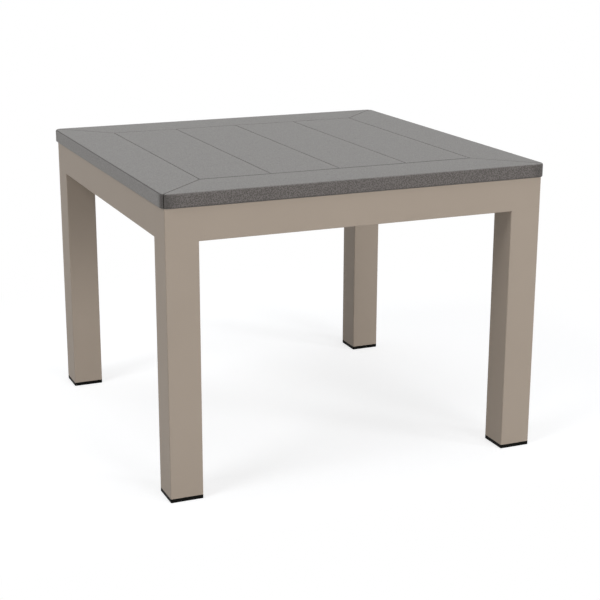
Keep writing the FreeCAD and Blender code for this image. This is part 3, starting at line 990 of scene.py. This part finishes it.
@dataclass
class TubeFrame:
    """Four legs and four aprons of one square tube, with three cross channels under the boards."""

    coat: Material
    wall: float = 2.5 * MM
    corner_radius: float = 1.5 * MM
    corner_steps: int = 4
    rim_radius: float = 0.5 * MM
    rim_steps: int = 2
    channel_wall: float = 2.5 * MM
    bend_radius: float = 4 * MM
    bend_steps: int = 5
    hole_diameter: float = 5.4 * MM
    hole_sides: int = 24
    slot_travel: float = 4 * MM
    cutter_height: float = 10 * MM

    def make_tube(self, node: str, axis: Axis, rim: float) -> Piece:
        """Model a square tube.

        Args:
            node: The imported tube.
            axis: The way that it runs.
            rim: The eased rim of its ends, or none.

        Returns:
            The tube.
        """
        low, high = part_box(node)
        tube = add_block(f"{node}_tube", low, high)
        select_faces(tube, lambda centre, normal: abs(normal[axis.value]) > FACING)
        bpy.ops.mesh.inset(thickness=self.wall)
        bpy.ops.mesh.delete(type="FACE")
        bpy.ops.mesh.select_mode(type="EDGE")
        bpy.ops.mesh.select_non_manifold()
        bpy.ops.mesh.bridge_edge_loops()
        bpy.ops.mesh.select_all(action="SELECT")
        bpy.ops.mesh.normals_make_consistent(inside=False)
        across = [other for other in Axis if other is not axis]
        select_edges(tube, lambda start, end: runs_along(start, end, axis) and all(
            at_ends(start, end, other, low[other.value], high[other.value]) for other in across
        ))
        bevel(self.corner_radius, self.corner_steps)
        if rim:
            self.ease_rims(tube, (low, high), axis, rim)
        finish_surface(tube)
        return tube

    def ease_rims(self, tube: Piece, box: Box, axis: Axis, rim: float) -> None:
        """Round the outer rims of a tube's ends.

        Args:
            tube: The tube.
            box: Its lowest and highest corners.
            axis: The way that it runs.
            rim: The radius of its rims.
        """
        low, high = box
        middle = (low + high) / 2
        half = (high - low) / 2
        across = [other.value for other in Axis if other is not axis]

        def on_rim(point: Vector) -> bool:
            """Find whether a point lies at an end of the tube, outside its bore.

            Args:
                point: The point.

            Returns:
                Whether it does.
            """
            offset = [abs(part) for part in point - middle]
            outside = any(offset[other] - half[other] + self.wall > TOUCH for other in across)
            return outside and near(offset[axis.value], half[axis.value])

        select_edges(tube, lambda start, end: on_rim(start) and on_rim(end))
        bevel(rim, self.rim_steps)

    def make_cutter(self, place: Vector, travel: float) -> Piece:
        """Model the shape of a hole, or of a slot along Y where it has travel.

        Args:
            place: The middle of its lower end.
            travel: How much longer than wide it is.

        Returns:
            The shape to cut out.
        """
        radius = self.hole_diameter / 2
        cutter = add_bar("hole_cutter", place, radius, self.cutter_height, self.hole_sides)
        for way in (-1, 1):
            select_points(cutter, lambda point: (point.y - place.y) * way > TOUCH)
            bpy.ops.transform.translate(value=(0, travel / 2 * way, 0))
        leave_edit()
        return cutter

    def make_channel(self, row: Row) -> Piece:
        """Model a folded channel, open downwards, with its screw holes.

        The boards are held at the front channel and slide in slots on the others.

        Args:
            row: Which of the three channels it is.

        Returns:
            The channel.
        """
        low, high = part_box(f"cross_channel_{row.value}")
        channel = add_block(f"{row.value}_cross_channel", low, high)
        select_faces(channel, lambda centre, normal: normal.z < -FACING or abs(normal.x) > FACING)
        bpy.ops.mesh.delete(type="FACE")
        select_edges(channel, lambda start, end: runs_along(start, end, Axis.X) and near(start.z, high.z))
        bevel(self.bend_radius, self.bend_steps)
        apply_modifier(channel, "SOLIDIFY", thickness=self.channel_wall, offset=-1, use_even_offset=True)
        cutters = []
        for group in SCREW_GROUPS:
            travel = self.slot_travel if group.slides and row is not Row.FRONT else 0
            for place in group.places():
                if low.y < place.y < high.y:
                    cutters.append(self.make_cutter(place, travel))
        cut_away(channel, join_pieces(cutters, "hole_cutters"))
        finish_surface(channel)
        return channel

    def build(self, welds: Piece) -> None:
        """Model and dress the frame.

        Args:
            welds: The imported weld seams, whose shape stays.
        """
        tubes = (
            ([f"leg_{corner}" for corner in CORNERS], Axis.Z, self.rim_radius),
            (["apron_front", "apron_back"], Axis.X, 0),
            (["apron_left", "apron_right"], Axis.Y, 0),
        )
        for nodes, axis, rim in tubes:
            dress_copies(self.make_tube(nodes[0], axis, rim), nodes, "tube", self.coat)
        for row in Row:
            dress(self.make_channel(row), self.coat, [f"cross_channel_{row.value}"])
        welds.material_slots[0].material = self.coat


@dataclass
class FootCaps:
    """Moulded caps: a flange under each leg and a hollow finned plug inside it."""

    plastic: Material
    flange: float = 6 * MM
    corner_radius: float = 1.5 * MM
    corner_steps: int = 4
    floor_bevel: float = 0.6 * MM
    floor_steps: int = 2
    plug_inset: float = 4 * MM
    plug_wall: float = 2.5 * MM
    fin_count: int = 3
    fin_setback: float = 4 * MM
    fin_pitch: float = 6 * MM
    fin_thickness: float = 1.5 * MM
    fin_height: float = 1.4 * MM

    def make_cap(self, node: str) -> Piece:
        """Model one cap.

        Args:
            node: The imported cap.

        Returns:
            The cap.
        """
        low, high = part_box(node)
        flange_top = low.z + self.flange
        cap = add_block(f"{node}_moulding", low, Vector((high.x, high.y, flange_top)))
        select_faces(cap, lambda centre, normal: normal.z > FACING)
        bpy.ops.mesh.inset(thickness=self.plug_inset)
        level = flange_top
        fin_levels = [
            flange_top + self.fin_setback + self.fin_pitch * fin for fin in range(self.fin_count)
        ]
        for fin_level in fin_levels:
            raise_faces(fin_level - level)
            raise_faces(self.fin_thickness)
            level = fin_level + self.fin_thickness
        raise_faces(high.z - level)
        bpy.ops.mesh.inset(thickness=self.plug_wall)
        raise_faces(flange_top - high.z)
        self.raise_fins(cap, fin_levels)
        select_edges(cap, lambda start, end: runs_along(start, end, Axis.Z) and at_ends(
            start, end, Axis.X, low.x, high.x
        ))
        bevel(self.corner_radius, self.corner_steps)
        select_edges(cap, lambda start, end: at_ends(start, end, Axis.Z, low.z))
        bevel(self.floor_bevel, self.floor_steps)
        finish_surface(cap)
        return cap

    def raise_fins(self, cap: Piece, fin_levels: list[float]) -> None:
        """Push the fins out of the plug's wall.

        Args:
            cap: The cap, whose plug is divided where the fins start and end.
            fin_levels: The heights at which the fins start.
        """
        for fin_level in fin_levels:
            middle = fin_level + self.fin_thickness / 2
            select_faces(cap, lambda centre, normal: near(normal.z, 0) and near(centre.z, middle))
            bpy.ops.mesh.extrude_region_shrink_fatten(
                TRANSFORM_OT_shrink_fatten={"value": self.fin_height, "use_even_offset": True}
            )

    def build(self) -> None:
        """Model one cap, copy it under the other legs and dress them."""
        nodes = [f"foot_cap_{corner}" for corner in CORNERS]
        dress_copies(self.make_cap(nodes[0]), nodes, "moulding", self.plastic)


@dataclass
class Screws:
    """Hexagon-head screws with a washer face, driven up through the channels into the boards."""

    steel: Material
    head_height: float = 3.2 * MM
    head_sides: int = 6
    head_bevel: float = 0.5 * MM
    dish_inset: float = 1.2 * MM
    dish_depth: float = 0.4 * MM
    washer_height: float = 0.9 * MM
    washer_radius: float = 5.2 * MM
    washer_sides: int = 32
    washer_bevel: float = 0.4 * MM
    bevel_steps: int = 2
    shank_radius: float = 2.4 * MM
    shank_sides: int = 24
    tip_bevel: float = 1.6 * MM

    def make_screw(self, group: ScrewGroup, foot: Vector) -> Piece:
        """Model one screw, head down.

        Args:
            group: The group that it belongs to.
            foot: The lowest point of its middle.

        Returns:
            The screw.
        """
        _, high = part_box(group.node)
        seat = foot.z + self.head_height
        hexagon_height = self.head_height - self.washer_height
        head = add_bar("screw_head", foot, group.head_radius, hexagon_height, self.head_sides)
        select_edges(head, lambda start, end: at_ends(start, end, Axis.Z, foot.z))
        bevel(self.head_bevel, self.bevel_steps)
        select_faces(head, lambda centre, normal: normal.z < -FACING)
        bpy.ops.mesh.inset(thickness=self.dish_inset)
        raise_faces(self.dish_depth)
        rim = Vector((foot.x, foot.y, seat - self.washer_height))
        washer = add_bar("screw_washer", rim, self.washer_radius, self.washer_height, self.washer_sides)
        select_edges(washer, lambda start, end: at_ends(start, end, Axis.Z, rim.z))
        bevel(self.washer_bevel, self.bevel_steps)
        start_of_shank = Vector((foot.x, foot.y, seat))
        length = high.z - seat
        shank = add_bar("screw_shank", start_of_shank, self.shank_radius, length, self.shank_sides)
        select_edges(shank, lambda start, end: at_ends(start, end, Axis.Z, high.z))
        bevel(self.tip_bevel, FLAT)
        return join_pieces([head, washer, shank], "screw")

    def build(self) -> None:
        """Model one screw of each group, copy it through the group's grid and dress the group."""
        for group in SCREW_GROUPS:
            first_place, *other_places = group.places()
            first = self.make_screw(group, first_place)
            copies = [copy_piece(first, "screw", place - first_place) for place in other_places]
            screws = join_pieces([first, *copies], f"hexagon_{group.node}")
            finish_surface(screws)
            dress(screws, self.steel, [group.node])


@dataclass(frozen=True)
class Lamp:
    """A round soft box that points at the middle of the table."""

    name: str
    place: tuple[float, float, float]
    size: float
    power: float
    aim: tuple[float, float, float] = (0.0, 0.0, 0.25)

    def hang(self) -> None:
        """Add the lamp to the scene."""
        place = Vector(self.place)
        turn = (Vector(self.aim) - place).to_track_quat("-Z", "Y").to_euler()
        bpy.ops.object.light_add(type="AREA", location=place, rotation=turn)
        lamp = bpy.context.active_object
        lamp.name = self.name
        lamp.data.shape = "DISK"
        lamp.data.size = self.size
        lamp.data.energy = self.power
        # The box lights the table without a glare on its boards
        lamp.visible_glossy = False


@dataclass
class Studio:
    """A white sweep, soft light from all round, four soft boxes and the photograph's camera."""

    image_width: int = 600
    focal_px: float = 1411.7
    axis_px: float = 284.0
    azimuth: float = -22.534
    elevation: float = 16.017
    eye: tuple[float, float, float] = (-0.8720, -2.1049, 0.8483)
    sensor_mm: float = 36.0
    sky: float = 0.1
    horizon: float = 0.6
    horizon_falloff: float = 3.0
    lamps: tuple[Lamp, ...] = (
        Lamp("front_soft_box", (1.758, -6.561, 1.943), 2.8, 135.0),
        Lamp("right_soft_box", (4.803, -4.803, 1.943), 1.7, 114.0),
        Lamp("left_soft_box", (-3.523, -1.352, 3.530), 2.0, 63.0),
        Lamp("high_soft_box", (0.225, 0.839, 5.174), 4.0, 58.7),
    )
    floor_width: float = 14.0
    floor_colour: str = "#DCDCDA"
    floor_glow: float = 0.71
    white_level: float = 1.0
    shadow_colour: str = "#C3C5C8"
    shadow_middle: tuple[float, float, float] = (0.05, 0.0, 0.0)
    shadow_fade: Range = (0.55, 0.95)
    front_fade: Range = (-0.3, -0.45)

    def add_camera(self) -> None:
        """Stand the camera where the photograph was taken from."""
        bpy.ops.object.camera_add(
            location=self.eye,
            rotation=(math.pi / 2 - math.radians(self.elevation), 0, math.radians(self.azimuth)),
        )
        camera = bpy.context.active_object
        camera.data.sensor_width = self.sensor_mm
        camera.data.lens = self.focal_px / self.image_width * self.sensor_mm
        camera.data.shift_x = (self.image_width / 2 - self.axis_px) / self.image_width
        bpy.context.scene.camera = camera

    def seen(self, tree: NodeTree) -> Socket:
        """Tell the rays that show the background from the rays that light the table.

        Args:
            tree: The node tree to add to.

        Returns:
            1 for what the camera sees, directly, in a reflection or through glass.
        """
        path = add_node(tree, "LightPath")
        seen = path["Is Camera Ray"]
        for way in ("Is Glossy Ray", "Is Transmission Ray"):
            seen = add_node(tree, "Math", (seen, path[way]), operation="MAXIMUM")["Value"]
        return seen

    def add_sky(self) -> None:
        """Light the table from all round, most from near the horizon, on a white background."""
        world = bpy.data.worlds.new("white_studio")
        world.use_nodes = True
        tree = world.node_tree
        tree.nodes.clear()
        # In a world, the coordinates are the way that a ray goes
        way = add_node(tree, "TexCoord")["Object"]
        height = add_node(tree, "SeparateXYZ", {"Vector": way})["Z"]
        steepness = add_node(tree, "Math", (height,), operation="ABSOLUTE")["Value"]
        flatness = add_node(tree, "Math", (1.0, steepness), operation="SUBTRACT")["Value"]
        low_light = add_node(tree, "Math", (flatness, self.horizon_falloff), operation="POWER")["Value"]
        levels = (low_light, self.horizon, self.sky)
        level = add_node(tree, "Math", levels, operation="MULTIPLY_ADD")["Value"]
        soft, white = (
            add_node(tree, "Background", {"Color": linear(WHITE), "Strength": strength})["Background"]
            for strength in (level, self.white_level)
        )
        surface = add_node(tree, "MixShader", (self.seen(tree), soft, white))["Shader"]
        add_node(tree, "OutputWorld", {"Surface": surface})
        bpy.context.scene.world = world

    def make_sweep(self) -> Material:
        """Make the floor's material.

        It lights the table as pale paint does. What the camera sees of it glows, so that it reads as
        white and keeps the shadow that lies near the table.

        Returns:
            The material.
        """
        material, tree = start_material("matt_white_sweep")
        paint, shaded = (
            add_node(tree, "BsdfDiffuse", {"Color": linear(colour)})["BSDF"]
            for colour in (self.floor_colour, self.shadow_colour)
        )
        glow, white = (
            add_node(tree, "Emission", {"Color": linear(WHITE), "Strength": strength})["Emission"]
            for strength in (self.floor_glow, self.white_level)
        )
        nearby = add_node(tree, "AddShader", (glow, shaded))["Shader"]
        place = add_node(tree, "TexCoord")["Object"]
        ends = (place, self.shadow_middle)
        span = add_node(tree, "VectorMath", ends, operation="DISTANCE")["Value"]
        around = add_node(tree, "MapRange", (span, *self.shadow_fade), **SOFT_STEP)["Result"]
        depth = add_node(tree, "SeparateXYZ", {"Vector": place})["Y"]
        front = add_node(tree, "MapRange", (depth, *self.front_fade), **SOFT_STEP)["Result"]
        far = add_node(tree, "Math", (around, front), operation="MAXIMUM")["Value"]
        sweep = add_node(tree, "MixShader", (far, nearby, white))["Shader"]
        surface = add_node(tree, "MixShader", (self.seen(tree), paint, sweep))["Shader"]
        add_node(tree, "OutputMaterial", {"Surface": surface})
        return material

    def add_floor(self) -> None:
        """Lay a pale floor that reads as white and keeps the table's shadow."""
        leave_edit()
        bpy.ops.mesh.primitive_plane_add(size=self.floor_width)
        floor = name_piece(bpy.context.active_object, "studio_floor")
        floor.data.materials.append(self.make_sweep())

    def build(self) -> None:
        """Set up the camera, the light and the floor."""
        self.add_camera()
        self.add_sky()
        self.add_floor()
        for lamp in self.lamps:
            lamp.hang()
        bpy.context.scene.view_settings.view_transform = "Standard"


def main() -> None:
    """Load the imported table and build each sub-assembly round it."""
    logging.basicConfig(level=logging.INFO, format="%(name)s: %(message)s")
    bpy.ops.object.select_all(action="SELECT")
    bpy.ops.object.delete()
    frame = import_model()

    coat = PowderCoat().build()
    border_lumber = PolymerLumber(Board.BORDER).build()
    slat_lumber = PolymerLumber(Board.SLAT).build()

    Tabletop(border_lumber, slat_lumber).build()
    TubeFrame(coat).build(frame["nodes"]["corner_welds"])
    FootCaps(MouldedPolyethylene().build()).build()
    Screws(StainlessSteel().build()).build()
    for corner in CORNERS:
        frame["nodes"][f"mitre_spline_{corner}"].material_slots[0].material = slat_lumber
    Studio().build()


if __name__ == "__main__":
    main()
